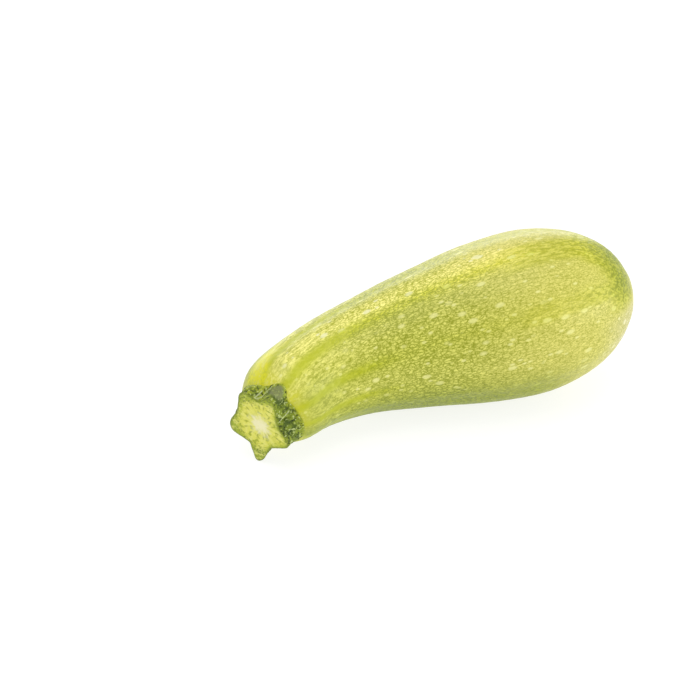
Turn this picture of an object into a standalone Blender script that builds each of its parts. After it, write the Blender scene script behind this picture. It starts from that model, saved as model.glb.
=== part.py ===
"""A vegetable marrow, picked and laid on its belly: the fruit and the stump of its cut stem.

Metres, +Z up. The marrow lies along X with its stem end at -X, its neck bends towards -Y, and the origin is
on the surface that it rests on, under the middle of its box.

Every surface is a sphere whose rings are carried along the marrow's bent axis. A place on it has a station,
which is the distance along that axis, an angle round the axis, from the +Y side up over the top, and a radius.
"""

import math

import bmesh
import bpy
import numpy as np

# Fruit: stations run from the neck's shoulder, at 0, to the blossom end
FRUIT_LENGTH = 0.161
BELLY_RADIUS = 0.035
BELLY_AT = 0.111
NECK_RADIUS = 0.0182
FLANK_START = -0.060
FLANK_POWER = 1.7
TIP_POWER = 2.2
SHOULDER_START = 0.006
SHOULDER_END = -0.0135
SHOULDER_POWER = 2.6
SCAR_RADIUS = 0.008
SCAR_DEPTH = 0.0007

# Bend of the neck, and how the marrow lies
BEND = math.radians(43.5)
BEND_REACH = 0.113
BEND_POWER = 3.5
AXIS_STEPS = 400
PITCH = math.radians(6.6)
PRESS_DEPTH = 0.0010

# Furrows between the fruit's ribs
RIBS = 10
FURROW_ANGLE = math.radians(118.5)
FURROW_TWIST = math.radians(-14.0)
WIDE_RIBS = 3
WIDE_ANGLE = math.radians(154.0)
WIDE_SHIFT = math.radians(5.0)
NECK_FURROW = 0.0007
BELLY_FURROW = 0.00035
FURROW_START = -0.005
FURROW_FULL = 0.010

# Stem stump: its cut face is a flat star of five lobes. Each point of its outline has its angle in degrees, its
# radius, and the station where the stem's foot ends on the shoulder at that angle
STEM_END = -0.0175
STEM_LEAN = 0.0012
RIM = (
    (18, 0.0125, -0.0088), (40, 0.0134, -0.0090), (64, 0.0165, -0.0098), (91, 0.0127, -0.0100),
    (114, 0.0160, -0.0078), (134, 0.0113, -0.0103), (147, 0.0091, -0.0102), (166, 0.0083, -0.0099),
    (184, 0.0090, -0.0092), (212, 0.0133, -0.0086), (232, 0.0117, -0.0088), (250, 0.0108, -0.0089),
    (264, 0.0120, -0.0087), (278, 0.0180, -0.0082), (287, 0.0194, -0.0080), (296, 0.0158, -0.0083),
    (306, 0.0131, -0.0087), (320, 0.0137, -0.0089), (343, 0.0167, -0.0078),
)
FLARE_POWER = 1.5
FOOT_THICKNESS = 0.0006
GAP = 0.00035

# Rings and segments of the faceted surfaces, and the shares of the stem's rings where its zones end
FRUIT_SEGMENTS, FRUIT_RINGS = 60, 58
STEM_SEGMENTS, STEM_RINGS = 72, 20
FACE_SHARE, SIDE_SHARE, LIP_SHARE = 0.20, 0.70, 0.75

SKIN_COLOUR = (0.50, 0.57, 0.12, 1.0)
STEM_COLOUR = (0.085, 0.135, 0.030, 1.0)


def ease(share):
    """Smooth step from 0 to 1, level at both ends."""
    share = np.clip(share, 0.0, 1.0)
    return share * share * (3.0 - 2.0 * share)


def axis_at(station):
    """Place and heading of the bent axis, with the belly's centre at 0, 0.

    The heading is BEND up to the shoulder and eases to nothing at BEND_REACH. The axis is the sum of short
    steps along it, and runs straight on past the shoulder into the stem.
    """
    steps = np.linspace(0.0, FRUIT_LENGTH, AXIS_STEPS)
    heading = BEND * np.clip(1.0 - steps / BEND_REACH, 0.0, 1.0) ** BEND_POWER
    middle = 0.5 * (heading[1:] + heading[:-1])
    x = np.append(0.0, np.cumsum(np.cos(middle))) * steps[1]
    y = np.append(0.0, np.cumsum(np.sin(middle))) * steps[1]
    x -= np.interp(BELLY_AT, steps, x)
    y -= np.interp(BELLY_AT, steps, y)
    before = np.minimum(station, 0.0)
    along_x = np.interp(station, steps, x) + before * math.cos(BEND)
    along_y = np.interp(station, steps, y) + before * math.sin(BEND)
    return along_x, along_y, np.interp(station, steps, heading)


def place(station, angle, radius, lean=0.0):
    """Points at these stations, angles and radii of the axis, lowered by lean."""
    x, y, heading = axis_at(station)
    side = radius * np.cos(angle)
    return np.stack([x - np.sin(heading) * side, y + np.cos(heading) * side, radius * np.sin(angle) - lean], axis=1)


def flank_radius(station):
    """Radius that swells from the neck to the belly."""
    rise = np.clip((station - FLANK_START) / (BELLY_AT - FLANK_START), 0.0, 1.0) ** FLANK_POWER
    return NECK_RADIUS + (BELLY_RADIUS - NECK_RADIUS) * ease(rise)


def fruit_radius(station):
    """Radius of the smooth fruit: the flank, rounded off at the shoulder and at the blossom end."""
    shoulder = np.clip((SHOULDER_START - station) / (SHOULDER_START - SHOULDER_END), 0.0, 1.0)
    tip = np.clip((station - BELLY_AT) / (FRUIT_LENGTH - BELLY_AT), 0.0, 1.0)
    rounded = (1.0 - shoulder**SHOULDER_POWER) ** (1.0 / SHOULDER_POWER)
    return flank_radius(station) * rounded * np.sqrt(1.0 - tip**TIP_POWER)


def furrow_depth(station, angle):
    """Depth of the furrows: one cosine a rib, deepest on the neck and fading out at the shoulder.

    A slower cosine shifts the furrows, so that WIDE_RIBS places round the fruit have wider ribs than the rest.
    """
    along = np.clip(station / FRUIT_LENGTH, 0.0, 1.0)
    shifted = angle - FURROW_TWIST * along - WIDE_SHIFT * np.cos(WIDE_RIBS * (angle - WIDE_ANGLE))
    wave = 0.5 + 0.5 * np.cos(RIBS * (shifted - FURROW_ANGLE))
    depth = NECK_FURROW + (BELLY_FURROW - NECK_FURROW) * ease(along)
    return depth * wave**1.5 * ease((station - FURROW_START) / (FURROW_FULL - FURROW_START))


def fruit_surface(share, angle):
    """Fruit from the middle of its shoulder, at share 0, to its blossom scar, at share 1."""
    station = SHOULDER_END + (FRUIT_LENGTH - SHOULDER_END) * 0.5 * (1.0 - np.cos(math.pi * share))
    radius = fruit_radius(station)
    scar = np.where(station > BELLY_AT, 1.0 - ease(radius / SCAR_RADIUS), 0.0)
    furrow = furrow_depth(station, angle) * np.clip(radius / BELLY_RADIUS, 0.0, 1.0)
    return press_flat(place(station - SCAR_DEPTH * scar, angle, radius - furrow))


def press_flat(points):
    """Raises whatever is lower than the flat that the fruit rests on, seen with the fruit tipped by PITCH."""
    upright = np.array([math.sin(PITCH), 0.0, math.cos(PITCH)])
    height = points @ upright
    return points + np.maximum(height.min() + PRESS_DEPTH - height, 0.0)[:, None] * upright


def rim_outline(angle):
    """Radius of the cut face and station of the foot's edge: smooth closed curves through the points of RIM.

    Each piece of a curve is a cubic, whose slope at a point is that of the line between its two neighbours.
    """
    knots = np.array(RIM)
    at, values = np.radians(knots[:, 0]), knots[:, 1:]
    width = np.mod(np.roll(at, -1) - at, 2.0 * math.pi)
    slopes = (np.roll(values, -1, axis=0) - np.roll(values, 1, axis=0)) / (width + np.roll(width, 1))[:, None]
    turned = np.mod(angle - at[0], 2.0 * math.pi)
    start = np.searchsorted(at - at[0], turned, side="right") - 1
    end = (start + 1) % len(at)
    t = ((turned - at[start] + at[0]) / width[start])[:, None]
    swing = width[start][:, None]
    curve = values[start] + (values[end] - values[start]) * ease(t)
    curve += swing * t * (1.0 - t) * ((1.0 - t) * slopes[start] - t * slopes[end])
    return curve.T


def stem_surface(share, angle):
    """Stem from the middle of its cut face, out to the lobed rim, down its side to the feet and back under.

    The side flares from the rim to a scalloped edge on the fruit's shoulder, and the underside keeps a gap
    to that shoulder. The cut end hangs lower than the feet by STEM_LEAN.
    """
    rim, foot = rim_outline(angle)
    down = np.clip((share - FACE_SHARE) / (SIDE_SHARE - FACE_SHARE), 0.0, 1.0)
    edge = fruit_radius(foot) + GAP + FOOT_THICKNESS
    side_radius = rim + (edge - rim) * down**FLARE_POWER
    under_station, under_radius = shoulder_seat(foot, np.clip((share - LIP_SHARE) / (1.0 - LIP_SHARE), 0.0, 1.0))
    under = share > 0.5 * (SIDE_SHARE + LIP_SHARE)
    station = np.where(under, under_station, STEM_END + (foot - STEM_END) * down)
    radius = np.where(under, under_radius, side_radius * np.clip(share / FACE_SHARE, 0.0, 1.0))
    return place(station, angle, radius, STEM_LEAN * (1.0 - down))


def shoulder_seat(foot, inward):
    """Station and radius of the stem's underside, GAP clear of the shoulder, from the feet in to the middle."""
    depth = SHOULDER_START - SHOULDER_END + GAP
    outer_turn = np.arccos(((SHOULDER_START - foot) / depth) ** (0.5 * SHOULDER_POWER))
    turn = outer_turn * (1.0 - inward)
    station = SHOULDER_START - depth * np.cos(turn) ** (2.0 / SHOULDER_POWER)
    return station, (flank_radius(station) + GAP) * np.sin(turn) ** (2.0 / SHOULDER_POWER)


def principled(name, colour, roughness):
    """Plain material of one colour."""
    material = bpy.data.materials.new(name)
    material.use_nodes = True
    shader = material.node_tree.nodes["Principled BSDF"]
    shader.inputs["Base Color"].default_value = colour
    shader.inputs["Roughness"].default_value = roughness
    material.diffuse_color = colour
    return material


def shaped_sphere(name, segments, rings, surface, material, collection):
    """Sphere whose every ring is moved to the surface's place for that ring's share and each vertex's angle."""
    mesh = bpy.data.meshes.new(name)
    ball = bmesh.new()
    bmesh.ops.create_uvsphere(ball, u_segments=segments, v_segments=rings, radius=1.0)
    ball.to_mesh(mesh)
    ball.free()
    unit = np.empty(len(mesh.vertices) * 3)
    mesh.vertices.foreach_get("co", unit)
    unit = unit.reshape(-1, 3)
    share = np.round(rings * np.arccos(np.clip(-unit[:, 2], -1.0, 1.0)) / math.pi) / rings
    points = surface(share, np.arctan2(unit[:, 1], unit[:, 0]))
    mesh.vertices.foreach_set("co", points.ravel())
    mesh.update()
    mesh.shade_smooth()
    mesh.materials.append(material)
    piece = bpy.data.objects.new(name, mesh)
    collection.objects.link(piece)
    return piece


def lay_down(marrow, pieces):
    """Tips the marrow nose down by PITCH, with its flat at Z = 0 and its box centred on X and Y."""
    marrow.rotation_euler.y = -PITCH
    bpy.context.view_layer.update()
    corners = [piece.matrix_world @ vertex.co for piece in pieces for vertex in piece.data.vertices]
    low, high = np.min(corners, axis=0), np.max(corners, axis=0)
    marrow.location = (-0.5 * (low[0] + high[0]), -0.5 * (low[1] + high[1]), -low[2])


def main():
    for old in list(bpy.data.objects):
        bpy.data.objects.remove(old)
    collection = bpy.data.collections.new("vegetable_marrow")
    bpy.context.scene.collection.children.link(collection)
    marrow = bpy.data.objects.new("marrow", None)
    collection.objects.link(marrow)
    skin = principled("fruit_skin", SKIN_COLOUR, 0.35)
    bark = principled("stem_green", STEM_COLOUR, 0.7)
    fruit = shaped_sphere("fruit", FRUIT_SEGMENTS, FRUIT_RINGS, fruit_surface, skin, collection)
    stem = shaped_sphere("stem", STEM_SEGMENTS, STEM_RINGS, stem_surface, bark, collection)
    stem.data.set_sharp_from_angle(angle=math.radians(50.0))
    for piece in (fruit, stem):
        piece.parent = marrow
    lay_down(marrow, (fruit, stem))


main()
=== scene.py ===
"""A vegetable marrow on its belly: the finished skin and cut stem, a pale floor, soft light and the camera.

Metres, +Z up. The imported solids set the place. Both pieces repeat the solids' formulas on finer grids: a
surface is a function of two parameters, the share of the way from its first pole to its last and the angle
round the marrow's bent axis, which is 0 on the +Y side and a quarter turn on top. A station is a distance
along that axis. A step is smooth, and is written as a pair: the values where it starts and where it ends.
"""

import math

import bpy
import numpy as np
from mathutils import Matrix, Vector


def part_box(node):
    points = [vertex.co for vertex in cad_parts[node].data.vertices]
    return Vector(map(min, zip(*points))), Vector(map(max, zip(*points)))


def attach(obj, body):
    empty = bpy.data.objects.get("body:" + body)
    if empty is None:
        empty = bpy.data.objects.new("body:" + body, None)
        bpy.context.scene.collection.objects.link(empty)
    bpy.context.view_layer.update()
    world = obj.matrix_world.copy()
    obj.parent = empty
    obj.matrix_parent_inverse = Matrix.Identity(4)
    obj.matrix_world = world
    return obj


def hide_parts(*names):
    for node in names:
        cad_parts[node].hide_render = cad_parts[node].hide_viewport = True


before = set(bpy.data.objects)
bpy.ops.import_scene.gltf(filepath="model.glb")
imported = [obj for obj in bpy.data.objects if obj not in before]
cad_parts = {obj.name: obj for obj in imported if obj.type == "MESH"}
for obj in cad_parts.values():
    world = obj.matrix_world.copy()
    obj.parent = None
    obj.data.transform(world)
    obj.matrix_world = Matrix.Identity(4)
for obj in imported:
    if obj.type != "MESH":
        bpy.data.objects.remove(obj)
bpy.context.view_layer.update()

# Fruit, as in the solid: stations run from the neck's shoulder, at 0, to the blossom end
FRUIT_LENGTH = 0.161
BELLY_RADIUS = 0.035
BELLY_AT = 0.111
NECK_RADIUS = 0.0182
FLANK_START = -0.060
FLANK_POWER = 1.7
TIP_POWER = 2.2
SHOULDER_START = 0.006
SHOULDER_END = -0.0135
SHOULDER_POWER = 2.6
SCAR_RADIUS = 0.008
SCAR_DEPTH = 0.0007

# Bend of the neck, and how the marrow lies
BEND = math.radians(43.5)
BEND_REACH = 0.113
BEND_POWER = 3.5
AXIS_STEPS = 400
PITCH = math.radians(6.6)
PRESS_DEPTH = 0.0010

# Furrows between the fruit's ribs
RIBS = 10
FURROW_ANGLE = math.radians(118.5)
FURROW_TWIST = math.radians(-14.0)
WIDE_RIBS = 3
WIDE_ANGLE = math.radians(154.0)
WIDE_SHIFT = math.radians(5.0)
NECK_FURROW = 0.0007
BELLY_FURROW = 0.00035
FURROW_START = -0.005
FURROW_FULL = 0.010
FURROW_POWER = 1.5

# Stem stump, as in the solid: angle in degrees, radius of the cut face and station of the foot's edge
STEM_END = -0.0175
STEM_LEAN = 0.0012
RIM = (
    (18, 0.0125, -0.0088), (40, 0.0134, -0.0090), (64, 0.0165, -0.0098), (91, 0.0127, -0.0100),
    (114, 0.0160, -0.0078), (134, 0.0113, -0.0103), (147, 0.0091, -0.0102), (166, 0.0083, -0.0099),
    (184, 0.0090, -0.0092), (212, 0.0133, -0.0086), (232, 0.0117, -0.0088), (250, 0.0108, -0.0089),
    (264, 0.0120, -0.0087), (278, 0.0180, -0.0082), (287, 0.0194, -0.0080), (296, 0.0158, -0.0083),
    (306, 0.0131, -0.0087), (320, 0.0137, -0.0089), (343, 0.0167, -0.0078),
)
FLARE_POWER = 1.5
FOOT_THICKNESS = 0.0006

# Fine skin: rings and segments, how far it keeps inside the solid, and its relief, cut off at SKIN_HIGHEST
OUTLINE_STEPS = 4000
SKIN_RINGS, SKIN_SEGMENTS = 316, 300
SKIN_INSET = 0.00025
SKIN_HIGHEST = 0.8 * SKIN_INSET
SWELL_SIZE, SWELL_DEPTH = 0.026, 0.00014
PEBBLE_SIZE, PEBBLE_DEPTH = 0.0032, 0.00003

# Relief of the blossom's scar, by the distance from its middle: cracks, a ridge round them, and a dimple
CRACK_SIZE, CRACK_DEPTH, CRACK_START, CRACK_END = 0.0030, 0.00012, (0.0, 0.0020), (0.0080, 0.0065)
RIDGE_AT, RIDGE_WIDTH, RIDGE_HEIGHT = 0.0082, 0.0010, 0.00020
DIMPLE_WIDTH, DIMPLE_DEPTH = 0.0014, 0.00060

# Colour bands: they follow the furrows, fade on the flank, and come back where the fruit had the most sun.
# A step is along the fruit, a WAVE step up the furrow wave, and a SIDE step by the cosine of the angle from
# SUN_ANGLE
SUN_ANGLE = math.radians(100.0)
BAND_POWER = 4
BAND_FADE, BAND_FAINT, FAINT_SIDE = (0.028, 0.060), 0.72, (0.40, 0.90)
RETURN_STEP, RETURN_SHARE = (0.092, 0.110), 0.6
DEEPER_STEP, DEEPER_SHARE = (0.124, 0.142), 0.4
BROAD_WAVE, BROAD_SIDE = (0.25, 0.70), (0.68, 0.93)
BESIDE_WAVE, BESIDE_SIDE, BESIDE_END_SIDE, BESIDE_STRENGTH = (0.55, 0.95), (0.40, 0.55), (0.93, 0.68), 0.8
CAP_STEP, CAP_SIDE, CAP_STRENGTH = (0.129, 0.141), (0.15, 0.55), 0.85
CAP_LATER, LATER_SIDE = 0.009, (0.98, 0.90)

# Tones: the pale upper side, partly the skin's own and partly painted sheen, the warm far half, painted
# shade on the underside, and painted shade beside the stem's feet
PALE_ANGLE, PALE_WIDTH, PALE_START, PALE_END = 99.0, 13.0, (-0.006, 0.004), (0.095, 0.130)
WARM_STEP = (0.060, 0.125)
SHADE_BELOW_HEIGHT, SHADE_BELOW_END = (0.02, -0.62), (0.105, 0.140)
FOOT_SHADE, FOOT_SHADE_END, FOOT_SHADE_SIDE = 0.30, (0.004, 0.022), (0.97, 0.72)

# Golden skin at the stem end: how far it reaches past the feet all round, over what length it fades, and its
# tongues, each with an angle and a width in degrees and how much further it reaches there
GOLDEN_REACH, GOLDEN_FADE = -0.0095, 0.0110
TONGUES = (
    (64.0, 15.0, 0.020), (96.0, 9.0, 0.002), (118.0, 9.0, -0.002), (138.0, 4.0, 0.002),
    (205.0, 12.0, -0.002), (240.0, 16.0, 0.005), (290.0, 22.0, 0.010), (0.0, 14.0, 0.008),
)

# Fine stem: segments, the rings of its cut face, side, lip and underside, how far the face's edge and the lip
# drop, how far the underside and the feet sink into the fruit, how far it all keeps inside the solid, and the
# height at which its relief is cut off
STEM_SEGMENTS = 420
FACE_RINGS, SIDE_RINGS, LIP_RINGS, UNDER_RINGS = 84, 84, 8, 10
EDGE_DROP, EDGE_POWER = 0.0003, 24
LIP_DROP = 0.0005
UNDER_SINK = 0.002
FOOT_SINK = 0.0005
STEM_INSET = 0.00015
STEM_HIGHEST = 0.0001

# Marks on the stem. The side's have a share of the way down it, from the rim at 0 to the feet at 1, and an
# angle in degrees: pale fibres from one place to another, and a smooth patch on one foot. The folds between
# the feet have an angle and a depth, the strands on the face an angle and a radius, and the pith a place
# across and up the face
FOLDS = ((90.0, 0.0006), (133.0, 0.0004), (162.0, 0.0007), (236.0, 0.0005), (20.0, 0.0005), (311.0, 0.0006))
FIBRES = (((0.00, 85.0), (0.92, 99.0)), ((0.00, 83.0), (0.67, 87.0)), ((0.12, 158.0), (0.75, 151.0)))
PATCH_PLACE, PATCH_SIZE, PATCH_EDGE = (0.60, 113.0), (0.34, 13.0), (1.2, 0.7)
# Painted light on the stem's upper foot: the angle round which its side is painted lighter, and the width, in
# degrees
LIT_FOOT_ANGLE, LIT_FOOT_WIDTH = 78.0, 20.0
STRANDS = (
    (91, 0.0096), (103, 0.0094), (128, 0.0062), (147, 0.0052), (170, 0.0055), (196, 0.0070),
    (216, 0.0078), (238, 0.0044), (254, 0.0050), (274, 0.0060), (300, 0.0062), (323, 0.0078),
    (344, 0.0085), (3, 0.0076), (31, 0.0080), (52, 0.0092), (70, 0.0100),
)
STRAND_LENGTH, STRAND_WIDTH = 0.0009, 0.00034
PITH_PLACE, PITH_TURN, PITH_SIZE = (0.0010, 0.0002), math.radians(60.0), (0.0056, 0.0042)

# Relief of the fine stem: on its side lumps, warts, grain, folds and fibres, and on its face a hollow, fine
# grooves that run outward, and the strands' ends. The side's relief fades in from the rim and out at the feet
SIDE_RADIUS, SIDE_HEIGHT = 0.014, 0.009
LUMP_SIZE, WART_SIZE, GRAIN_SIZE = 0.0030, 0.0017, 0.0009
WART_SHARE, GRAIN_SHARE, SIDE_DEPTH, PATCH_CALM = 0.8, 0.35, 0.00017, 0.8
SIDE_SINK, RIM_FADE, FEET_FADE = 0.0002, 0.06, 0.10
FOLD_WIDTH = 0.055
FIBRE_WIDTH, FIBRE_HEIGHT = 0.00022, 0.00012
GROOVE_SIZE, GROOVE_DEPTH, GROOVE_RING, GROOVE_DRIFT, GROOVE_START = 0.0011, 0.00004, 0.006, 0.2, 0.3
FACE_HOLLOW = 0.0004
STRAND_DEPTH = 0.00012

# Clouds in the materials: waves to the metre, fineness, and how many waves lie along the fruit for one across
PATCHES = (60.0, 2.0, 0.5)
STREAKS = (1600.0, 0.0, 0.13)
SKIN_GRAIN = (2300.0, 1.0, 0.60)
ROWS = (1100.0, 2.0, 0.20)
GLOSS_CLOUDS, SCAR_CLOUDS = (400.0, 2.0), (700.0, 3.0)
SIDE_CLOUDS, SIDE_GRAIN, ROUGH_CLOUDS = (330.0, 3.0), (1000.0, 2.0), (1100.0, 2.0)
PULP_CLOUDS, DOT_CLOUDS = (420.0, 3.0), (1000.0, 1.0)

# Streaks that run outward: waves to the metre, the radius of the ring that they are read on, and its drift
SPOKE_SCALE, SPOKE_RING, SPOKE_DRIFT = 700.0, 0.006, 0.25

# Wavering of the net: waves to the metre, and how wide they swing
WANDER_SCALE, WANDER_REACH = 500.0, 0.0012

# Cells in the materials: cells to the metre, how many lie along the fruit for one across, how irregular they
# are, the share of them that holds no spot, and the size of a spot
NET_SCALE, NET_DRAW, NET_DISORDER = 900.0, 0.42, 0.9
SPOT_SCALES, SPOT_DRAW, SPOT_SIZE, SPOT_CHOICE = ((190.0, 0.15), (330.0, 0.50)), 0.50, 0.25, 0.15

# Steps in the skin's colours, by the distance from the shoulder's pole or from the middle of the scar
NECK_STEP = (0.075, 0.015)
FAR_NET, FAR_CALM, STEM_CALM = (0.085, 0.145), (0.075, 0.125), (0.030, 0.004)
LINED_STEP = (0.100, 0.130)
# The second step here places a painted reflection on the lower side of the blossom end
TIP_DARK, TIP_REFLECTION = (0.149, 0.168), (0.146, 0.168)
HALO_STEP, HALO_FRAY = (0.0165, 0.0095), 0.0016
SCAR_STEP, SCAR_FRAY = (0.0086, 0.0077), 0.0006
SCAR_RIM, SCAR_DIMPLE, SCAR_MATT = (0.0062, 0.0080), (0.0022, 0.0008), (0.0088, 0.0076)

# Steps in the cut face's colours, by the distance inward from its rim or outward from its middle
EDGE_GREEN_STEP, RIM_STEP = (0.0040, 0.0006), (0.0015, 0.0002)
LOBE_STEP, DOT_STEP = (0.0100, 0.0140), (0.0090, 0.0125)

# Shine and bumps: how much light the skin and the stem mirror, and how high their fine bumps are
SKIN_SHINE, SKIN_BUMP = 0.38, 0.0001
STEM_SHINE, STEM_BUMP = 0.3, 0.0003

# Skin colours: red, green, blue and cover. The tints multiply what they lie on
NET_GREEN, FLECK_YELLOW = (0.29, 0.32, 0.008, 1.0), (0.78, 0.77, 0.160, 1.0)
SPOT_CREAM, SPOT_PALE = (0.83, 0.81, 0.30, 1.0), (0.91, 0.89, 0.55, 1.0)
NECK_BAND_GREEN, GOLD = (0.45, 0.49, 0.008, 1.0), (0.74, 0.72, 0.012, 1.0)
# The first tint here makes the upper side paler and whiter: partly the skin's own paler ribs, partly painted
# sheen
PALE_SHEEN_TINT, WARM_TINT = (1.55, 1.45, 2.30, 1.0), (1.12, 1.05, 1.35, 1.0)
# The first tint here is painted shade, for the underside and beside the stem's feet
SHADE_BELOW_TINT, PATCHY_TINT = (0.51, 0.60, 0.08, 1.0), (0.96, 0.97, 0.92, 1.0)
BAND_TINT, TIP_TINT = (0.80, 0.85, 0.06, 1.0), (0.50, 0.60, 0.04, 1.0)
# Painted reflection of the white floor, whitening the lower side of the blossom end
REFLECTION_TINT = (1.02, 1.00, 1.90, 1.0)

# Scar colours
HALO_YELLOW = (0.62, 0.60, 0.13, 1.0)
SCAR_BROWN, SCAR_STRAW = (0.36, 0.27, 0.10, 1.0), (0.60, 0.48, 0.22, 1.0)
CRACK_BROWN, FLAKE_STRAW = (0.20, 0.13, 0.045, 1.0), (0.68, 0.58, 0.32, 1.0)
RIM_BROWN, DIMPLE_BROWN = (0.26, 0.19, 0.06, 1.0), (0.12, 0.08, 0.03, 1.0)

# Colours of the stem's side, and of its cut face
# The second colour of each of these pairs is a lighter copy of the first, painted light on the stem's upper
# foot
SIDE_DARK, SIDE_DARK_LIT = (0.060, 0.100, 0.004, 1.0), (0.16, 0.22, 0.006, 1.0)
SIDE_LIGHT, SIDE_LIGHT_LIT = (0.23, 0.30, 0.020, 1.0), (0.50, 0.56, 0.030, 1.0)
FEET_GREEN, TOP_GREEN = (0.42, 0.48, 0.020, 1.0), (0.28, 0.34, 0.020, 1.0)
# The first colour here is painted shade, for the low places between the stem's lumps
HOLLOW_SHADE, PIT_GREEN = (0.025, 0.050, 0.003, 1.0), (0.014, 0.030, 0.002, 1.0)
PATCH_GREY = (0.20, 0.22, 0.085, 1.0)
SPECK_GREEN, FIBRE_GREEN = (0.54, 0.62, 0.24, 1.0), (0.62, 0.68, 0.36, 1.0)
FACE_YELLOW = (0.74, 0.73, 0.10, 1.0)
FACE_EDGE_GREEN, LOBE_GREEN = (0.47, 0.54, 0.025, 1.0), (0.31, 0.40, 0.012, 1.0)
RAY_GREEN, RAY_CREAM = (0.42, 0.46, 0.025, 1.0), (0.84, 0.83, 0.26, 1.0)
PULP_CREAM, PULP_GREEN = (0.84, 0.82, 0.20, 1.0), (0.34, 0.40, 0.016, 1.0)
DOT_GREEN, STRAND_GREEN = (0.13, 0.18, 0.008, 1.0), (0.25, 0.29, 0.012, 1.0)
PITH_CREAM, RIM_GREEN = (0.90, 0.86, 0.50, 1.0), (0.17, 0.22, 0.010, 1.0)

# Camera: the middle of the picture, seen from the belly's centre, and the angle and distance it is seen from
CAMERA_AZIMUTH = math.radians(-15.882)
CAMERA_ELEVATION = math.radians(32.312)
CAMERA_DISTANCE = 0.800
PICTURE_RIGHT = -0.072775
PICTURE_UP = -0.013168
LENS = 99.2

# Light: how bright the white surroundings and the floor's own glow are, and each lamp's name, place, width,
# height and watts
SURROUNDINGS = 0.70
FLOOR_GLOW = 0.80
FLOOR_GREY = 0.30
FLOOR_HALF = 12.0
LAMP_TARGET = (0.0, 0.0, 0.03)
LAMPS = (
    ("behind", (0.10, 1.10, 0.19), 1.6, 0.30, 4.7),
    ("overhead", (-0.1, 0.0, 1.2), 1.1, 1.1, 5.0),
    ("right", (0.95, -0.60, 0.30), 0.9, 0.5, 4.5),
)


def ease(share):
    """Smooth step from 0 to 1, level at both ends: three times the share's square less twice its cube."""
    share = np.clip(share, 0.0, 1.0)
    return share * share * (3.0 - 2.0 * share)


def climb(value, start, end):
    """Smooth step from 0, where the value is start, to 1, where it is end."""
    return ease((value - start) / (end - start))


def hump(distance):
    """Smooth hump: e to the power of minus the square of the distance."""
    return np.exp(-(distance**2))


def axis_at(station):
    """Place and heading of the bent axis, with the belly's centre at 0, 0.

    The heading is BEND up to the shoulder and eases to nothing at BEND_REACH. The axis is the sum of short
    steps along it, and runs straight on past the shoulder into the stem.
    """
    steps = np.linspace(0.0, FRUIT_LENGTH, AXIS_STEPS)
    heading = BEND * np.clip(1.0 - steps / BEND_REACH, 0.0, 1.0) ** BEND_POWER
    middle = 0.5 * (heading[1:] + heading[:-1])
    x = np.append(0.0, np.cumsum(np.cos(middle))) * steps[1]
    y = np.append(0.0, np.cumsum(np.sin(middle))) * steps[1]
    x -= np.interp(BELLY_AT, steps, x)
    y -= np.interp(BELLY_AT, steps, y)
    before = np.minimum(station, 0.0)
    along_x = np.interp(station, steps, x) + before * math.cos(BEND)
    along_y = np.interp(station, steps, y) + before * math.sin(BEND)
    return along_x, along_y, np.interp(station, steps, heading)


def place(station, angle, radius, lean=0.0):
    """Points at these stations, angles and radii of the axis, lowered by lean."""
    x, y, heading = axis_at(station)
    side = radius * np.cos(angle)
    y = y + np.cos(heading) * side
    return np.stack([x - np.sin(heading) * side, y, radius * np.sin(angle) - lean], axis=-1)


def flank_radius(station):
    """Radius that swells from the neck to the belly."""
    rise = np.clip((station - FLANK_START) / (BELLY_AT - FLANK_START), 0.0, 1.0) ** FLANK_POWER
    return NECK_RADIUS + (BELLY_RADIUS - NECK_RADIUS) * ease(rise)


def fruit_radius(station):
    """Radius of the smooth fruit: the flank, rounded off at the shoulder and at the blossom end."""
    shoulder = np.clip((SHOULDER_START - station) / (SHOULDER_START - SHOULDER_END), 0.0, 1.0)
    tip = np.clip((station - BELLY_AT) / (FRUIT_LENGTH - BELLY_AT), 0.0, 1.0)
    rounded = (1.0 - shoulder**SHOULDER_POWER) ** (1.0 / SHOULDER_POWER)
    return flank_radius(station) * rounded * np.sqrt(1.0 - tip**TIP_POWER)


def furrow_wave(station, angle):
    """Cosine of the angle with one crest, of 1, in each furrow, turning slowly along the fruit.

    A slower cosine shifts the furrows, so WIDE_RIBS places round the fruit have wider ribs than the rest.
    """
    along = np.clip(station / FRUIT_LENGTH, 0.0, 1.0)
    shifted = angle - FURROW_TWIST * along - WIDE_SHIFT * np.cos(WIDE_RIBS * (angle - WIDE_ANGLE))
    return 0.5 + 0.5 * np.cos(RIBS * (shifted - FURROW_ANGLE))


def furrow_depth(station, angle):
    """Depth of the furrows: deepest on the neck and fading out at the shoulder."""
    depth = NECK_FURROW + (BELLY_FURROW - NECK_FURROW) * ease(station / FRUIT_LENGTH)
    depth = depth * furrow_wave(station, angle) ** FURROW_POWER
    return depth * climb(station, FURROW_START, FURROW_FULL)


def even_stations(rings):
    """Stations of rings that lie evenly along the fruit's outline, from the shoulder's pole to the scar's."""
    swing = 0.5 * (1.0 - np.cos(np.linspace(0.0, math.pi, OUTLINE_STEPS)))
    fine = SHOULDER_END + (FRUIT_LENGTH - SHOULDER_END) * swing
    outline = np.hypot(np.diff(fine), np.diff(fruit_radius(fine)))
    travelled = np.append(0.0, np.cumsum(outline))
    return np.interp(np.linspace(0.0, travelled[-1], rings), travelled, fine)


def scar_distance(station):
    """Distance from the middle of the blossom's scar: the radius past the belly, and a metre before it."""
    return np.where(station > BELLY_AT, fruit_radius(station), 1.0)


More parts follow.
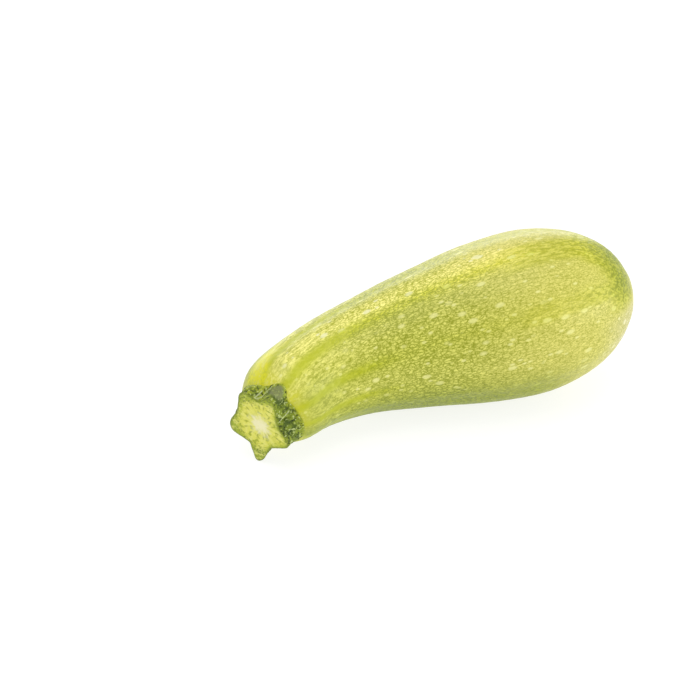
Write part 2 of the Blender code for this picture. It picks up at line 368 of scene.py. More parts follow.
def press_flat(points, smooth):
    """Raises whatever is lower than the flat that the fruit rests on, seen with the fruit tipped by PITCH.

    The flat is PRESS_DEPTH above the lowest place of the smooth fruit.
    """
    upright = np.array([math.sin(PITCH), 0.0, math.cos(PITCH)])
    level = (smooth @ upright).min() + PRESS_DEPTH
    return points + np.maximum(level - points @ upright, 0.0)[..., None] * upright


def outward(points):
    """Unit normals of a grid of points: the cross product of its slopes round and along the marrow."""
    around = np.roll(points, -1, axis=1) - np.roll(points, 1, axis=1)
    normals = np.cross(around, np.gradient(points, axis=0))
    normals[0], normals[-1] = normals[1].mean(axis=0), normals[-2].mean(axis=0)
    return normals / np.linalg.norm(normals, axis=-1, keepdims=True)


def ripple(points, size, seed, waves=28):
    """Smooth noise of about -1 to 1: a sum of plane waves about size long, of seeded headings and phases."""
    draws = np.random.default_rng(seed)
    headings = draws.normal(size=(3, waves))
    headings /= np.linalg.norm(headings, axis=0) * size * draws.uniform(0.7, 1.5, waves)
    phases = draws.uniform(0.0, 2.0 * math.pi, waves)
    return np.sin(2.0 * math.pi * (points @ headings) + phases).sum(axis=-1) / math.sqrt(waves)


def turned_from(angle, degrees):
    """Signed angle from a direction in degrees, in radians, from -pi to pi."""
    return np.mod(angle - math.radians(degrees) + math.pi, 2.0 * math.pi) - math.pi


def closed_mesh(name, points):
    """Mesh of a closed surface from its grid: four-sided faces between rings, and a fan at each pole.

    The first and the last ring are one point each, so they become the poles.
    """
    rings, around = points.shape[:2]
    grid = np.arange((rings - 2) * around).reshape(rings - 2, around)
    beside = np.roll(grid, -1, axis=1)
    sides = np.stack([grid[:-1], beside[:-1], beside[1:], grid[1:]], axis=-1).reshape(-1, 4)
    first, last = grid.size, grid.size + 1
    fans = [np.stack([np.full(around, first), beside[0], grid[0]], axis=-1)]
    fans.append(np.stack([np.full(around, last), grid[-1], beside[-1]], axis=-1))
    mesh = bpy.data.meshes.new(name)
    mesh.from_pydata(poled(points).tolist(), [], sides.tolist() + np.concatenate(fans).tolist())
    mesh.shade_smooth()
    return mesh


def poled(values):
    """Values of a grid in the order of its mesh: the rings between the poles, then the two poles."""
    inner = values[1:-1].reshape((-1,) + values.shape[2:])
    return np.concatenate([inner, values[:1, 0], values[-1:, 0]])


def mark(mesh, name, values):
    """Stores a number, or three, for each point of a grid under this name, for the material to read."""
    flat = poled(values)
    kind, key = ("FLOAT", "value") if flat.ndim == 1 else ("FLOAT_VECTOR", "vector")
    mesh.attributes.new(name, kind, "POINT").data.foreach_set(key, flat.astype(np.float32).ravel())


def tip_over(points):
    """Turns points nose down by PITCH, about the belly's centre."""
    x = points[..., 0] * math.cos(PITCH) - points[..., 2] * math.sin(PITCH)
    z = points[..., 0] * math.sin(PITCH) + points[..., 2] * math.cos(PITCH)
    return np.stack([x, points[..., 1], z], axis=-1)


def skin_grid():
    """Stations, angles and points of the fine skin, and the smooth fruit that it follows.

    The skin is the fruit's formula moved along its normals: inset, with slow swells, fine pebbling and the
    scar's cracks, ridge and dimple.
    """
    around = np.linspace(0.0, 2.0 * math.pi, SKIN_SEGMENTS, endpoint=False)
    station, angle = np.meshgrid(even_stations(SKIN_RINGS), around, indexing="ij")
    radius = fruit_radius(station)
    radius[0] = radius[-1] = 0.0
    scar = np.where(station > BELLY_AT, 1.0 - ease(radius / SCAR_RADIUS), 0.0)
    furrow = furrow_depth(station, angle) * np.clip(radius / BELLY_RADIUS, 0.0, 1.0)
    smooth = place(station - SCAR_DEPTH * scar, angle, radius - furrow)
    relief = SWELL_DEPTH * ripple(smooth, SWELL_SIZE, 3) + PEBBLE_DEPTH * ripple(smooth, PEBBLE_SIZE, 4)
    out = scar_distance(station)
    cone = np.stack([2.0 * radius, SCAR_RADIUS * np.cos(angle), SCAR_RADIUS * np.sin(angle)], axis=-1)
    relief += CRACK_DEPTH * ripple(cone, CRACK_SIZE, 5) * climb(out, *CRACK_END) * climb(out, *CRACK_START)
    relief += RIDGE_HEIGHT * hump((out - RIDGE_AT) / RIDGE_WIDTH) - DIMPLE_DEPTH * hump(out / DIMPLE_WIDTH)
    relief[0], relief[-1] = relief[0].mean(), relief[-1].mean()
    points = smooth + outward(smooth) * (np.minimum(relief, SKIN_HIGHEST) - SKIN_INSET)[..., None]
    return station, angle, tip_over(press_flat(points, smooth)), tip_over(press_flat(smooth, smooth))


def band_strength(station, angle):
    """How much of the furrows' green each place has, from 0 to 1.

    Narrow bands in the furrows, full on the neck and faint on the flank. On the side toward SUN_ANGLE they
    come back broad, with a narrower one beside them, and run together into a green cap round the blossom
    end, which starts further on away from the sun. All are products and sums of smooth steps.
    """
    wave = furrow_wave(station, angle)
    facing = np.cos(angle - SUN_ANGLE)
    faint = BAND_FAINT * climb(facing, *FAINT_SIDE)
    narrow = wave**BAND_POWER * (1.0 - (1.0 - faint) * climb(station, *BAND_FADE))
    returning = RETURN_SHARE * climb(station, *RETURN_STEP) + DEEPER_SHARE * climb(station, *DEEPER_STEP)
    broad = climb(wave, *BROAD_WAVE) * climb(facing, *BROAD_SIDE)
    beside = climb(wave, *BESIDE_WAVE) * climb(facing, *BESIDE_SIDE) * climb(facing, *BESIDE_END_SIDE)
    later = CAP_LATER * climb(facing, *LATER_SIDE)
    cap = CAP_STRENGTH * climb(facing, *CAP_SIDE) * climb(station - later, *CAP_STEP)
    return np.maximum(np.maximum(narrow, (broad + BESIDE_STRENGTH * beside) * returning), cap)


def tone_strengths(station, angle):
    """How pale, how warm and how much painted shade each place has, each from 0 to 1.

    The pale upper side, partly the skin's own paler ribs and partly painted sheen, is a smooth hump round
    PALE_ANGLE that starts past the neck and ends before the blossom end. The warm far half rises smoothly
    along the fruit, and the painted shade on the underside with the depth below the axis. The shady side
    beside the stem's feet has a little painted shade as well.
    """
    pale = hump(turned_from(angle, PALE_ANGLE) / math.radians(PALE_WIDTH))
    pale = pale * climb(station, *PALE_START) * (1.0 - climb(station, *PALE_END))
    warm = climb(station, *WARM_STEP)
    shade_below = climb(np.sin(angle), *SHADE_BELOW_HEIGHT) * (1.0 - climb(station, *SHADE_BELOW_END))
    shady = climb(np.cos(angle - SUN_ANGLE), *FOOT_SHADE_SIDE) * (1.0 - climb(station, *FOOT_SHADE_END))
    return np.stack([pale, warm, np.maximum(shade_below, FOOT_SHADE * shady)], axis=-1)


def golden_strength(station, angle):
    """How golden each place is, from 0 to 1: it fades past a reach that has a smooth hump at each tongue."""
    reach = np.full(angle.shape, GOLDEN_REACH)
    for degrees, width, further in TONGUES:
        reach += further * hump(turned_from(angle, degrees) / math.radians(width))
    return 1.0 - ease((station - reach) / GOLDEN_FADE + 0.5)


def make_skin():
    """Fine skin of the fruit, placed by the solid's box: its far end, its middle across and its flat."""
    station, angle, points, smooth = skin_grid()
    low, high = (np.array(corner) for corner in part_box("fruit"))
    own_low, own_high = smooth.min(axis=(0, 1)), smooth.max(axis=(0, 1))
    across = 0.5 * (low[1] + high[1] - own_low[1] - own_high[1])
    shift = np.array([high[0] - own_high[0], across, low[2] - own_low[2]])
    mesh = closed_mesh("marrow_skin", points + shift)
    turn = angle - FURROW_TWIST * np.clip(station / FRUIT_LENGTH, 0.0, 1.0)
    radius = fruit_radius(station)
    mark(mesh, "straight", np.stack([station, radius * np.cos(turn), radius * np.sin(turn)], axis=-1))
    mark(mesh, "band", band_strength(station, angle))
    mark(mesh, "sun", 0.5 + 0.5 * np.cos(angle - SUN_ANGLE))
    mark(mesh, "golden", golden_strength(station, angle))
    mark(mesh, "tones", tone_strengths(station, angle))
    mark(mesh, "from_stem", station - SHOULDER_END)
    mark(mesh, "from_scar", scar_distance(station))
    piece = bpy.data.objects.new("marrow_skin", mesh)
    bpy.context.scene.collection.objects.link(piece)
    return piece, shift


def rim_outline(angle):
    """Radius of the cut face and station of the foot's edge: smooth closed curves through the points of RIM.

    Each piece of a curve is a cubic, whose slope at a point is that of the line between its two neighbours.
    """
    knots = np.array(RIM)
    at, values = np.radians(knots[:, 0]), knots[:, 1:]
    width = np.mod(np.roll(at, -1) - at, 2.0 * math.pi)
    slopes = (np.roll(values, -1, axis=0) - np.roll(values, 1, axis=0)) / (width + np.roll(width, 1))[:, None]
    turned = np.mod(angle - at[0], 2.0 * math.pi)
    start = np.searchsorted(at - at[0], turned, side="right") - 1
    end = (start + 1) % len(at)
    t = ((turned - at[start] + at[0]) / width[start])[:, None]
    swing = width[start][:, None]
    curve = values[start] + (values[end] - values[start]) * ease(t)
    curve += swing * t * (1.0 - t) * ((1.0 - t) * slopes[start] - t * slopes[end])
    return curve.T


def stem_grid():
    """Zones, angles and points of the fine stem, and the radius of its rim.

    The face, zone 0 to 1, is a disc that drops a little just inside the rim. The side, 1 to 2, runs evenly
    down to the feet and flares as a power of the way down. The lip, 2 to 3, is a quarter turn in under the
    feet, and the underside, 3 to 4, is a cone that ends inside the fruit.
    """
    angle = np.linspace(0.0, 2.0 * math.pi, STEM_SEGMENTS, endpoint=False)
    rim, foot = rim_outline(angle)
    edge = fruit_radius(foot) + FOOT_THICKNESS
    out = np.linspace(0.0, 1.0, FACE_RINGS)[:, None]
    face = place(STEM_END + EDGE_DROP * out**EDGE_POWER, angle, rim * out, STEM_LEAN)
    down = np.linspace(0.0, 1.0, SIDE_RINGS + 1)[1:, None]
    top = STEM_END + EDGE_DROP
    flare = rim + (edge - rim) * down**FLARE_POWER
    side = place(top + (foot - top) * down, angle, flare, STEM_LEAN * (1.0 - down))
    turn = np.linspace(0.0, 1.0, LIP_RINGS + 1)[1:, None]
    quarter = 0.5 * math.pi * turn
    lip_radius = edge - (FOOT_THICKNESS + FOOT_SINK) * (1.0 - np.cos(quarter))
    lip = place(foot + LIP_DROP * np.sin(quarter), angle, lip_radius)
    inward = np.linspace(0.0, 1.0, UNDER_RINGS + 1)[1:, None]
    under_station = foot + LIP_DROP + (SHOULDER_END + UNDER_SINK - foot) * inward
    under = place(under_station, angle, (edge - FOOT_THICKNESS - FOOT_SINK) * (1.0 - inward))
    zone = np.concatenate([out, 1.0 + down, 2.0 + turn, 3.0 + inward]).repeat(STEM_SEGMENTS, axis=1)
    return zone, np.broadcast_to(angle, zone.shape), rim, np.concatenate([face, side, lip, under])


def fibre_gap(down, angle):
    """Distance in metres of each place on the stem's side from the nearest fibre.

    The side is unrolled: SIDE_HEIGHT down it, and the angle times SIDE_RADIUS round it. A fibre is the
    straight line between its two ends there.
    """
    here = np.stack([down * SIDE_HEIGHT, angle * SIDE_RADIUS], axis=-1)
    nearest = np.full(down.shape, 1.0)
    for ends in FIBRES:
        start, end = ((share * SIDE_HEIGHT, math.radians(turn) * SIDE_RADIUS) for share, turn in ends)
        run = np.subtract(end, start)
        along = np.clip((here - start) @ run / (run @ run), 0.0, 1.0)
        nearest = np.minimum(nearest, np.linalg.norm(here - start - along[..., None] * run, axis=-1))
    return nearest


def strand_ends(across, up):
    """1 on each strand's cut end on the face, falling to 0 round it: a smooth ellipse that points inward."""
    ends = np.zeros(across.shape)
    for degrees, radius in STRANDS:
        aim_across, aim_up = math.cos(math.radians(degrees)), math.sin(math.radians(degrees))
        along = (across * aim_across + up * aim_up - radius) / STRAND_LENGTH
        aside = (up * aim_across - across * aim_up) / STRAND_WIDTH
        ends = np.maximum(ends, hump(np.hypot(along, aside)))
    return ends


def pith_share(across, up):
    """Distance from the middle of the pith, as a share of the ellipse that is its edge."""
    across, up = across - PITH_PLACE[0], up - PITH_PLACE[1]
    along = across * math.cos(PITH_TURN) + up * math.sin(PITH_TURN)
    aside = up * math.cos(PITH_TURN) - across * math.sin(PITH_TURN)
    return np.hypot(along / PITH_SIZE[0], aside / PITH_SIZE[1])


def make_stem(shift):
    """Fine stem in the solid stem's place: a rough, folded side with pale fibres, and a face with strands.

    The relief moves the points of the grid along their normals. On the side it is ripples less the folds,
    which are deepest half way down, and on the face a round hollow with ripples that run outward.
    """
    zone, angle, rim, points = stem_grid()
    out, down = np.clip(zone, 0.0, 1.0), np.clip(zone - 1.0, 0.0, 1.0)
    face = zone <= 1.0
    side = np.clip(down / RIM_FADE, 0.0, 1.0) * np.clip((1.0 - down) / FEET_FADE, 0.0, 1.0) * (zone < 2.0)
    across, up = rim * out * np.cos(angle), rim * out * np.sin(angle)

    patch_turn = turned_from(angle, PATCH_PLACE[1]) / math.radians(PATCH_SIZE[1])
    patch = climb(np.hypot((down - PATCH_PLACE[0]) / PATCH_SIZE[0], patch_turn), *PATCH_EDGE) * side
    warts = ripple(points, LUMP_SIZE, 11) + WART_SHARE * np.abs(ripple(points, WART_SIZE, 12))
    warts += GRAIN_SHARE * ripple(points, GRAIN_SIZE, 14)
    fold = sum(depth * hump(turned_from(angle, degrees) / FOLD_WIDTH) for degrees, depth in FOLDS)
    fold = fold * np.sqrt(np.sin(math.pi * down))
    fibre = hump(fibre_gap(down, angle) / FIBRE_WIDTH) * side
    roughness = SIDE_DEPTH * warts * (1.0 - PATCH_CALM * patch)
    relief = (roughness - SIDE_SINK - fold + FIBRE_HEIGHT * fibre) * side

    ring = [GROOVE_RING * np.cos(angle), GROOVE_RING * np.sin(angle), GROOVE_DRIFT * out * rim]
    grooves = GROOVE_DEPTH * ripple(np.stack(ring, axis=-1), GROOVE_SIZE, 13)
    hollow = FACE_HOLLOW * (1.0 - out**2)
    strands = strand_ends(across, up) * face
    relief += (grooves * np.clip(out / GROOVE_START, 0.0, 1.0) - hollow - STRAND_DEPTH * strands) * face
    relief[0], relief[-1] = relief[0].mean(), relief[-1].mean()
    points = tip_over(points + outward(points) * (np.minimum(relief, STEM_HIGHEST) - STEM_INSET)[..., None])

    mesh = closed_mesh("cut_stem", points + shift)
    mark(mesh, "section", np.stack([across, up, rim * out], axis=-1))
    mark(mesh, "zone", zone)
    mark(mesh, "lumps", warts * side)
    mark(mesh, "rim_gap", rim * (1.0 - out))
    mark(mesh, "fibre", fibre)
    mark(mesh, "patch", patch)
    # Painted light: where the side's upper foot is painted lighter
    mark(mesh, "lit_foot", hump(turned_from(angle, LIT_FOOT_ANGLE) / math.radians(LIT_FOOT_WIDTH)))
    mark(mesh, "strands", strands)
    mark(mesh, "pith", pith_share(across, up))
    piece = bpy.data.objects.new("cut_stem", mesh)
    bpy.context.scene.collection.objects.link(piece)
    return piece


def add(tree, kind, wires, **settings):
    """New shader node: settings are its own choices, and wires give its inputs values or other outputs."""
    node = tree.nodes.new("ShaderNode" + kind)
    for name, value in settings.items():
        setattr(node, name, value)
    for socket, value in wires.items():
        if isinstance(value, bpy.types.NodeSocket):
            tree.links.new(value, node.inputs[socket])
        else:
            node.inputs[socket].default_value = value
    return node


def sums(tree, operation, first, second=0.0):
    """Result of one piece of arithmetic."""
    return add(tree, "Math", {0: first, 1: second}, operation=operation).outputs[0]


def arrows(tree, operation, first, second=(0.0, 0.0, 0.0)):
    """Result of one piece of arithmetic on vectors."""
    return add(tree, "VectorMath", {0: first, 1: second}, operation=operation).outputs[0]


def blended(tree, share, first, second):
    """Value that goes from the first to the second as share goes from 0 to 1."""
    return add(tree, "Mix", {0: share, 2: first, 3: second}, data_type="FLOAT").outputs[0]


def rise(tree, value, start, end, low=0.0, high=1.0):
    """Smooth step of a value from low, at start, to high, at end."""
    wires = {"Value": value, "From Min": start, "From Max": end, "To Min": low, "To Max": high}
    return add(tree, "MapRange", wires, interpolation_type="SMOOTHSTEP").outputs[0]


def tinted(tree, share, first, second, blend="MIX"):
    """Colour that goes from the first to the second as share goes from 0 to 1."""
    return add(tree, "Mix", {0: share, 6: first, 7: second}, data_type="RGBA", blend_type=blend).outputs[2]


def read(tree, name, socket="Fac"):
    """A value that the mesh stores under this name."""
    return add(tree, "Attribute", {}, attribute_name=name).outputs[socket]


def clouds(tree, at, scale, detail=2.0, draw=1.0):
    """Cloudy noise of 0 to 1: scale waves to the metre across the fruit, and draw times as many along it."""
    moved = add(tree, "Mapping", {"Vector": at, "Scale": (draw, 1.0, 1.0)}).outputs[0]
    return add(tree, "TexNoise", {"Vector": moved, "Scale": scale, "Detail": detail}).outputs[0]


def cells(tree, at, scale, draw, feature="F1", disorder=1.0):
    """Cell pattern: scale cells to the metre across the fruit, and draw times as many along it."""
    moved = add(tree, "Mapping", {"Vector": at, "Scale": (draw, 1.0, 1.0)}).outputs[0]
    return add(tree, "TexVoronoi", {"Vector": moved, "Scale": scale, "Randomness": disorder}, feature=feature)


def finish(name, roughness):
    """New material of this roughness, with its node tree and shader."""
    material = bpy.data.materials.new(name)
    material.use_nodes = True
    shader = material.node_tree.nodes["Principled BSDF"]
    shader.inputs["Roughness"].default_value = roughness
    return material, material.node_tree, shader


def spokes(tree, at, across, out):
    """Noise in streaks that run outward from an axis.

    It is the noise of a small ring round the axis, at each place's angle, which drifts along the axis as out,
    the distance from it, grows. The vector across is 0 along the axis and 1 across it.
    """
    ring = arrows(tree, "NORMALIZE", arrows(tree, "MULTIPLY", at, across))
    ring = arrows(tree, "MULTIPLY", ring, (SPOKE_RING, SPOKE_RING, SPOKE_RING))
    drift = add(tree, "CombineXYZ", {0: out, 1: out, 2: out}).outputs[0]
    drift = arrows(tree, "MULTIPLY", drift, tuple(SPOKE_DRIFT * (1.0 - part) for part in across))
    return clouds(tree, arrows(tree, "ADD", ring, drift), SPOKE_SCALE)


def scar_colour(tree, colour, straight):
    """The blossom end: pale rays round a dry, cracked, straw-brown scar with a dark rim and a dark dimple."""
    out = read(tree, "from_scar")
    rays = spokes(tree, straight, (0.0, 1.0, 1.0), out)
    mottle = clouds(tree, straight, *SCAR_CLOUDS)
    frayed = sums(tree, "ADD", out, rise(tree, rays, 0.3, 0.7, -HALO_FRAY, HALO_FRAY))
    halo = sums(tree, "MULTIPLY", rise(tree, frayed, *HALO_STEP), rise(tree, rays, 0.35, 0.6, 0.45, 1.0))
    colour = tinted(tree, sums(tree, "MULTIPLY", halo, 0.8), colour, HALO_YELLOW)
    frayed = sums(tree, "ADD", out, rise(tree, mottle, 0.3, 0.7, -SCAR_FRAY, SCAR_FRAY))
    dry = tinted(tree, rise(tree, mottle, 0.35, 0.65), SCAR_BROWN, SCAR_STRAW)
    dry = tinted(tree, rise(tree, rays, 0.56, 0.66, 0.0, 0.7), dry, CRACK_BROWN)
    dry = tinted(tree, rise(tree, rays, 0.44, 0.36, 0.0, 0.5), dry, FLAKE_STRAW)
    dry = tinted(tree, rise(tree, frayed, *SCAR_RIM, 0.0, 0.8), dry, RIM_BROWN)
    dry = tinted(tree, rise(tree, frayed, *SCAR_DIMPLE, 0.0, 0.85), dry, DIMPLE_BROWN)
    return tinted(tree, rise(tree, frayed, *SCAR_STEP), colour, dry)


def wavering(tree, straight):
    """These places moved to and fro by up to half of WANDER_REACH, so that what is drawn on them wavers."""
    noise = add(tree, "TexNoise", {"Vector": straight, "Scale": WANDER_SCALE, "Detail": 1.0})
    wander = arrows(tree, "SUBTRACT", noise.outputs["Color"], (0.5, 0.5, 0.5))
    wander = arrows(tree, "MULTIPLY", wander, (WANDER_REACH, WANDER_REACH, WANDER_REACH))
    return arrows(tree, "ADD", straight, wander)


def net_height(tree, straight, grown, rows, neck):
    """The skin's net: 0 on thin wavy dark lines and 1 on the small long flecks between them.

    Long streaks and a fine grain lie over it. Rows take its place in the far bands, on the neck and a little
    on the sunniest line, and it is calmer by the stem, in the neck's bands and on the far half.
    """
    band, from_stem = read(tree, "band"), read(tree, "from_stem")
    lines = cells(tree, grown, NET_SCALE, NET_DRAW, "DISTANCE_TO_EDGE", NET_DISORDER).outputs["Distance"]
    net = sums(tree, "ADD", rise(tree, lines, 0.0, 0.20, 0.0, 0.58), rise(tree, lines, 0.20, 0.38, 0.0, 0.18))
    net = blended(tree, rise(tree, from_stem, *FAR_NET, 0.0, 0.50), net, 0.50)
    net = sums(tree, "ADD", net, rise(tree, clouds(tree, grown, *STREAKS), 0.34, 0.66, -0.13, 0.13))
    net = sums(tree, "ADD", net, rise(tree, clouds(tree, straight, *SKIN_GRAIN), 0.3, 0.7, -0.29, 0.29))
    lined = sums(tree, "MULTIPLY", band, rise(tree, from_stem, *LINED_STEP, 0.0, 0.70))
    lined = sums(tree, "MAXIMUM", lined, sums(tree, "MULTIPLY", neck, 0.60))
    lined = sums(tree, "MAXIMUM", lined, rise(tree, read(tree, "sun"), 0.84, 0.98, 0.0, 0.12))
    net = blended(tree, lined, net, rows)
    calm = sums(tree, "MULTIPLY", sums(tree, "MULTIPLY", band, neck), 0.75)
    calm = sums(tree, "MAXIMUM", calm, rise(tree, from_stem, *STEM_CALM, 0.0, 0.50))
    calm = sums(tree, "MAXIMUM", calm, rise(tree, from_stem, *FAR_CALM, 0.08, 0.30))
    calm = sums(tree, "MAXIMUM", calm, sums(tree, "MULTIPLY", neck, 0.20))
    return blended(tree, calm, net, 0.58)


def skin_spots(tree, straight):
    """Spots, from 0 to 1: some of the cells of a wide and of a closer pattern hold one in their middle."""
    spots = []
    for scale, empty in SPOT_SCALES:
        pattern = cells(tree, straight, scale, SPOT_DRAW)
        lot = add(tree, "SeparateColor", {0: pattern.outputs["Color"]}).outputs[1]
        chosen = rise(tree, lot, empty, empty + SPOT_CHOICE)
        middle = rise(tree, pattern.outputs["Distance"], SPOT_SIZE, 0.45 * SPOT_SIZE)
        spots.append(sums(tree, "MULTIPLY", middle, chosen))
    return sums(tree, "MAXIMUM", *spots)


def skin_colour(tree, straight, net, rows, neck):
    """Colour of the skin: the net, then its tones, spots, bands, green tip, gold and scar.

    The paler upper side is partly painted sheen, the underside and the shady side by the stem's feet hold
    painted shade, and the lower side of the blossom end holds a painted white reflection.
    """
    band, sun, from_stem = read(tree, "band"), read(tree, "sun"), read(tree, "from_stem")
    tones = add(tree, "SeparateXYZ", {0: read(tree, "tones", "Vector")}).outputs
    colour = tinted(tree, net, NET_GREEN, FLECK_YELLOW)
    # Paler upper side and neck top: partly the skin's own paler ribs, partly painted sheen from the light
    # above; the spots are paler there too
    pale = sums(tree, "MULTIPLY", sums(tree, "MULTIPLY", neck, rise(tree, sun, 0.75, 0.98)), 0.5)
    colour = tinted(tree, sums(tree, "MAXIMUM", pale, tones[0]), colour, PALE_SHEEN_TINT, "MULTIPLY")
    colour = tinted(tree, tones[1], colour, WARM_TINT, "MULTIPLY")
    spot_colour = tinted(tree, tones[0], SPOT_CREAM, SPOT_PALE)
    colour = tinted(tree, sums(tree, "MULTIPLY", skin_spots(tree, straight), 0.74), colour, spot_colour)
    # Painted shade: the underside and the shady side by the stem's feet are darkened and greened
    colour = tinted(tree, tones[2], colour, SHADE_BELOW_TINT, "MULTIPLY")
    patches = rise(tree, clouds(tree, straight, *PATCHES), 0.35, 0.7)
    colour = tinted(tree, patches, colour, PATCHY_TINT, "MULTIPLY")
    streaked = sums(tree, "MULTIPLY", band, rise(tree, rows, 0.2, 0.8, 1.1, 0.75))
    colour = tinted(tree, streaked, colour, BAND_TINT, "MULTIPLY")
    darker = sums(tree, "MULTIPLY", streaked, rise(tree, sun, 0.62, 0.90))
    darker = sums(tree, "MULTIPLY", darker, rise(tree, from_stem, *TIP_DARK))
    colour = tinted(tree, darker, colour, TIP_TINT, "MULTIPLY")
    # Painted reflection: the lower side of the blossom end is whitened as if it mirrored the white floor
    tip_reflection = sums(tree, "MULTIPLY", rise(tree, sun, 0.80, 0.58), rise(tree, from_stem, *TIP_REFLECTION))
    colour = tinted(tree, tip_reflection, colour, REFLECTION_TINT, "MULTIPLY")
    smooth = sums(tree, "MULTIPLY", sums(tree, "MULTIPLY", band, neck), 0.70)
    colour = tinted(tree, smooth, colour, NECK_BAND_GREEN)
    golden = sums(tree, "MULTIPLY", read(tree, "golden"), rise(tree, rows, 0.1, 0.9, 1.0, 0.35))
    colour = tinted(tree, sums(tree, "MULTIPLY", golden, 0.90), colour, GOLD)
    return scar_colour(tree, colour, straight)


def skin_finish():
    """Semi-gloss skin: a fine green net round pale flecks, creamy spots, green bands and two yellow ends."""
    material, tree, shader = finish("marrow_skin", 0.36)
    straight = read(tree, "straight", "Vector")
    grown = wavering(tree, straight)
    rows = rise(tree, clouds(tree, grown, *ROWS), 0.38, 0.62)
    neck = rise(tree, read(tree, "from_stem"), *NECK_STEP)
    net = net_height(tree, straight, grown, rows, neck)
    tree.links.new(skin_colour(tree, straight, net, rows, neck), shader.inputs["Base Color"])
    shader.inputs["Specular IOR Level"].default_value = SKIN_SHINE
    gloss = rise(tree, clouds(tree, straight, *GLOSS_CLOUDS), 0.3, 0.7, 0.36, 0.46)
    gloss = sums(tree, "ADD", gloss, rise(tree, read(tree, "from_scar"), *SCAR_MATT, 0.0, 0.4))
    tree.links.new(gloss, shader.inputs["Roughness"])
    bump = add(tree, "Bump", {"Height": net, "Strength": 0.35, "Distance": SKIN_BUMP})
    tree.links.new(bump.outputs[0], shader.inputs["Normal"])
    return material


def stem_side(tree, here):
    """Colour of the stem's side: dark green with pits, pale specks and fibres, and a smooth grey patch.

    Its upper foot is lighter with painted light, and its hollows between the lumps are darker with painted
    shade.
    """
    down = sums(tree, "SUBTRACT", read(tree, "zone"), 1.0)
    grain = clouds(tree, here, *SIDE_GRAIN)
    lit_foot = read(tree, "lit_foot")
    # Painted light: the side's greens turn to lighter copies of themselves on the upper foot
    dark = tinted(tree, lit_foot, SIDE_DARK, SIDE_DARK_LIT)
    light = tinted(tree, lit_foot, SIDE_LIGHT, SIDE_LIGHT_LIT)
    colour = tinted(tree, rise(tree, clouds(tree, here, *SIDE_CLOUDS), 0.36, 0.64), dark, light)
    colour = tinted(tree, rise(tree, down, 0.72, 1.0, 0.0, 0.6), colour, FEET_GREEN)
    colour = tinted(tree, rise(tree, down, 0.30, 0.0, 0.0, 0.75), colour, TOP_GREEN)
    # Painted shade: darker in the low places between the lumps of the side's relief
    colour = tinted(tree, rise(tree, read(tree, "lumps"), 0.2, -1.2, 0.0, 0.7), colour, HOLLOW_SHADE)
    patch = sums(tree, "MULTIPLY", read(tree, "patch"), rise(tree, grain, 0.40, 0.60, 0.95, 0.65))
    colour = tinted(tree, patch, colour, PATCH_GREY)
    bare = sums(tree, "SUBTRACT", 1.0, sums(tree, "MULTIPLY", read(tree, "patch"), 0.7))
    specks = sums(tree, "MULTIPLY", rise(tree, grain, 0.57, 0.66, 0.0, 0.85), bare)
    colour = tinted(tree, specks, colour, SPECK_GREEN)
    pits = sums(tree, "MULTIPLY", rise(tree, grain, 0.43, 0.34, 0.0, 0.85), bare)
    colour = tinted(tree, pits, colour, PIT_GREEN)
    return tinted(tree, sums(tree, "MULTIPLY", read(tree, "fibre"), 0.9), colour, FIBRE_GREEN)


def cut_face(tree):
    """Colour of the cut face: a cream pith, dark strand ends, pale and dark rays, and dotted green lobes."""
    section = read(tree, "section", "Vector")
    rim_gap = read(tree, "rim_gap")
    out = add(tree, "SeparateXYZ", {0: section}).outputs[2]
    rays = spokes(tree, section, (1.0, 1.0, 0.0), out)
    pulp = clouds(tree, section, *PULP_CLOUDS)
    colour = tinted(tree, rise(tree, rim_gap, *EDGE_GREEN_STEP), FACE_YELLOW, FACE_EDGE_GREEN)
    colour = tinted(tree, rise(tree, out, *LOBE_STEP, 0.0, 0.9), colour, LOBE_GREEN)
    colour = tinted(tree, rise(tree, rays, 0.50, 0.64, 0.0, 0.30), colour, RAY_GREEN)
    colour = tinted(tree, rise(tree, rays, 0.46, 0.34, 0.0, 0.35), colour, RAY_CREAM)
    colour = tinted(tree, rise(tree, pulp, 0.50, 0.68, 0.0, 0.55), colour, PULP_CREAM)
    colour = tinted(tree, rise(tree, pulp, 0.47, 0.34, 0.0, 0.85), colour, PULP_GREEN)
    dots = rise(tree, clouds(tree, section, *DOT_CLOUDS), 0.56, 0.64)
    dots = sums(tree, "MULTIPLY", dots, rise(tree, out, *DOT_STEP))
    colour = tinted(tree, sums(tree, "MULTIPLY", dots, 0.8), colour, DOT_GREEN)
    colour = tinted(tree, sums(tree, "MULTIPLY", read(tree, "strands"), 0.80), colour, STRAND_GREEN)
    edge = sums(tree, "ADD", read(tree, "pith"), rise(tree, pulp, 0.2, 0.8, -0.35, 0.35))
    edge = sums(tree, "ADD", edge, rise(tree, rays, 0.3, 0.7, -0.14, 0.14))
    colour = tinted(tree, rise(tree, edge, 1.35, 0.20), colour, PITH_CREAM)
    return tinted(tree, rise(tree, rim_gap, *RIM_STEP, 0.0, 0.80), colour, RIM_GREEN)


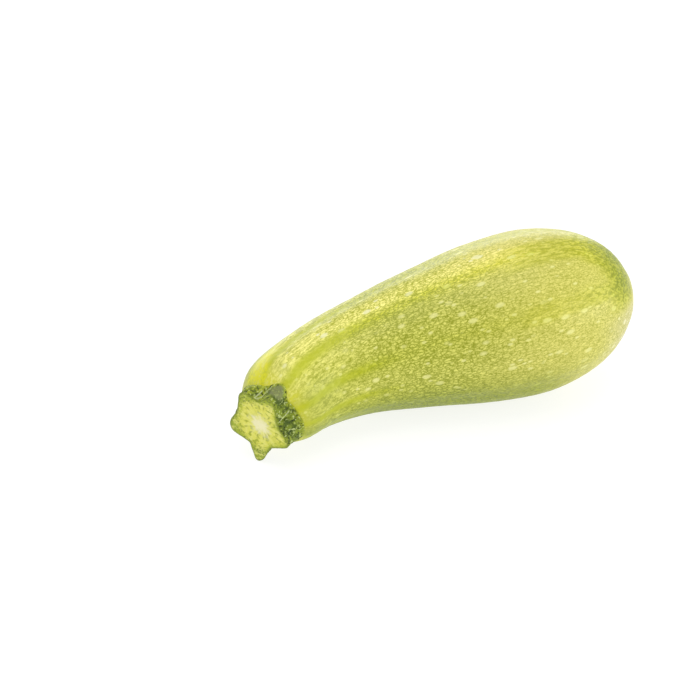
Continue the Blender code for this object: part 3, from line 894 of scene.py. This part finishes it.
def stem_finish():
    """Stem: a matt, rough, dark green side, and a moist, pale yellow-green cut face."""
    material, tree, shader = finish("cut_stem", 0.6)
    here = add(tree, "TexCoord", {}).outputs["Object"]
    zone = read(tree, "zone")
    colour = tinted(tree, rise(tree, zone, 1.0, 1.04), cut_face(tree), stem_side(tree, here))
    tree.links.new(colour, shader.inputs["Base Color"])
    tree.links.new(rise(tree, zone, 1.0, 1.03, 0.42, 0.62), shader.inputs["Roughness"])
    shader.inputs["Specular IOR Level"].default_value = STEM_SHINE
    rough = clouds(tree, here, *ROUGH_CLOUDS)
    bump = add(tree, "Bump", {"Height": rough, "Strength": 0.6, "Distance": STEM_BUMP})
    tree.links.new(bump.outputs[0], shader.inputs["Normal"])
    return material


def lay_floor():
    """Plain pale floor, wide enough to fill every view, that glows a little like a light table."""
    turns = ((-1, -1), (1, -1), (1, 1), (-1, 1))
    corners = [(FLOOR_HALF * along, FLOOR_HALF * side, 0.0) for along, side in turns]
    mesh = bpy.data.meshes.new("floor")
    mesh.from_pydata(corners, [], [(0, 1, 2, 3)])
    floor = bpy.data.objects.new("floor", mesh)
    bpy.context.scene.collection.objects.link(floor)
    material, tree, shader = finish("floor_white", 0.8)
    shader.inputs["Base Color"].default_value = (FLOOR_GREY, FLOOR_GREY, FLOOR_GREY, 1.0)
    shader.inputs["Specular IOR Level"].default_value = 0.0
    shader.inputs["Emission Color"].default_value = (1.0, 1.0, 1.0, 1.0)
    shader.inputs["Emission Strength"].default_value = FLOOR_GLOW
    floor.data.materials.append(material)


def lamp(name, spot, width, height, watts):
    """Soft rectangular lamp, aimed at the marrow."""
    light = bpy.data.lights.new(name, "AREA")
    light.shape = "RECTANGLE"
    light.size, light.size_y = width, height
    light.energy = watts
    thing = bpy.data.objects.new(name, light)
    thing.visible_camera = False
    bpy.context.scene.collection.objects.link(thing)
    thing.location = spot
    thing.rotation_euler = (Vector(LAMP_TARGET) - Vector(spot)).to_track_quat("-Z", "Y").to_euler()


def light_studio():
    """White surroundings, and soft lamps behind the marrow, overhead and to the right of the camera."""
    world = bpy.data.worlds.new("studio")
    bpy.context.scene.world = world
    world.use_nodes = True
    world.node_tree.nodes["Background"].inputs["Color"].default_value = (1.0, 1.0, 1.0, 1.0)
    world.node_tree.nodes["Background"].inputs["Strength"].default_value = SURROUNDINGS
    for name, spot, width, height, watts in LAMPS:
        lamp(name, spot, width, height, watts)


def place_camera(belly):
    """Camera at the photograph's angle, level, with the belly's centre off the middle of the picture."""
    right = Vector((math.cos(CAMERA_AZIMUTH), math.sin(CAMERA_AZIMUTH), 0.0))
    back = Vector((
        math.sin(CAMERA_AZIMUTH) * math.cos(CAMERA_ELEVATION),
        -math.cos(CAMERA_AZIMUTH) * math.cos(CAMERA_ELEVATION),
        math.sin(CAMERA_ELEVATION),
    ))
    up = back.cross(right)
    data = bpy.data.cameras.new("camera")
    data.lens = LENS
    camera = bpy.data.objects.new("camera", data)
    bpy.context.scene.collection.objects.link(camera)
    spot = belly + CAMERA_DISTANCE * back + PICTURE_RIGHT * right + PICTURE_UP * up
    camera.matrix_world = Matrix.Translation(spot) @ Matrix((right, up, back)).transposed().to_4x4()
    bpy.context.scene.camera = camera


skin, shift = make_skin()
skin.data.materials.append(skin_finish())
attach(skin, "root")
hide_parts("fruit")

stem = make_stem(shift)
stem.data.materials.append(stem_finish())
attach(stem, "root")
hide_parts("stem")

lay_floor()
light_studio()
place_camera(Vector(shift))
bpy.context.scene.view_settings.view_transform = "Standard"
